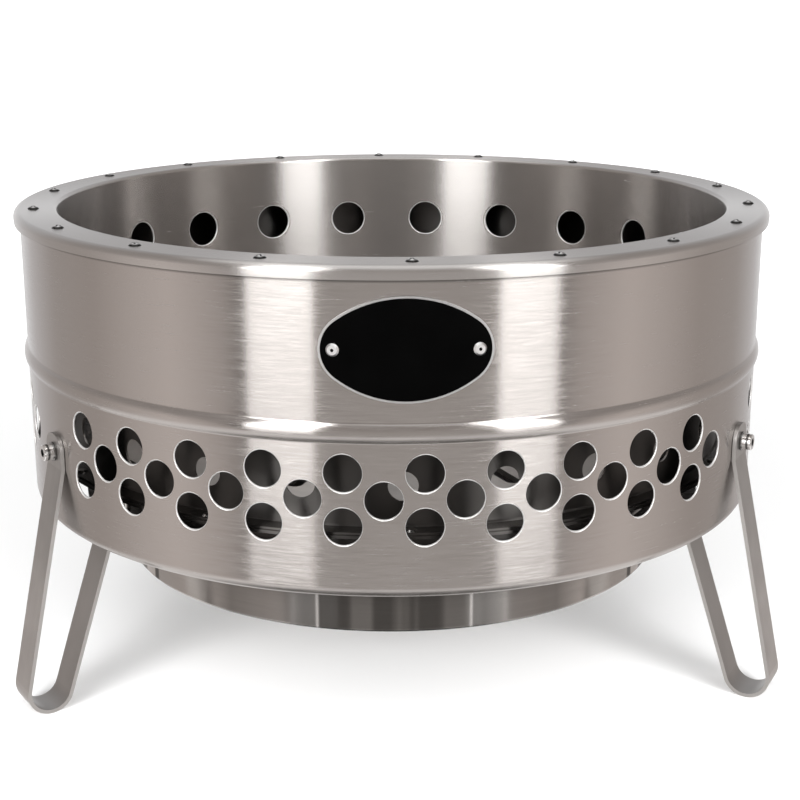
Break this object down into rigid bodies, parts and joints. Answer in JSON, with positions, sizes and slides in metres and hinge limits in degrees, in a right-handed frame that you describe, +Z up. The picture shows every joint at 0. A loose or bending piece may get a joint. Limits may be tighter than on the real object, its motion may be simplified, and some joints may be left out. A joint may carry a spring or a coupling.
{
  "type": "camp fire pit",
  "caption": "Round double-walled stainless camp fire pit on bent strip legs, with a perforated shell, a drop-in ash pan and a loose fire grate.",
  "frame": {"origin": "on the axis of the pit, at the height of the ground that the three feet stand on", "axes": "+Z up along the axis of the pit, -Y towards the front with the badge, +X to the right as seen from the front"},
  "size_m": [0.4172, 0.4412, 0.2572],
  "materials": {
    "brushed_shell": "brushed round the shell",
    "satin_liner": "satin",
    "polished_pan": "polished",
    "grate_steel": "mill",
    "leg_steel": "satin",
    "bright_fasteners": "bright",
    "badge_metal": "satin",
    "badge_black": "gloss enamel"
  },
  "bodies": {
    "chassis": {"outer_shell": "brushed_shell", "fire_liner": "satin_liner", "rim_screws": "bright_fasteners", "rim_nuts": "bright_fasteners", "lower_ring": "satin_liner", "seam_rivets": "bright_fasteners", "chamber_floor": "satin_liner", "floor_rivets": "bright_fasteners", "leg_ring": "leg_steel", "leg_left": "leg_steel", "leg_right": "leg_steel", "leg_rear": "leg_steel", "leg_screws": "bright_fasteners", "leg_washers": "bright_fasteners", "leg_nuts": "bright_fasteners", "ring_bolts": "bright_fasteners", "ring_nuts": "bright_fasteners", "badge_plate": "badge_metal", "badge_enamel": "badge_black", "badge_rivets": "bright_fasteners"},
    "pan": {"ash_pan": "polished_pan"},
    "grate": {"fire_grate": "grate_steel"}
  },
  "joints": [
    {"name": "pan_lift", "type": "slide", "parent": "chassis", "child": "pan", "axis": [0, 0, 1], "range_m": [0, 0.21]},
    {"name": "grate_lift", "type": "slide", "parent": "pan", "child": "grate", "axis": [0, 0, 1], "range_m": [0, 0.2]}
  ]
}
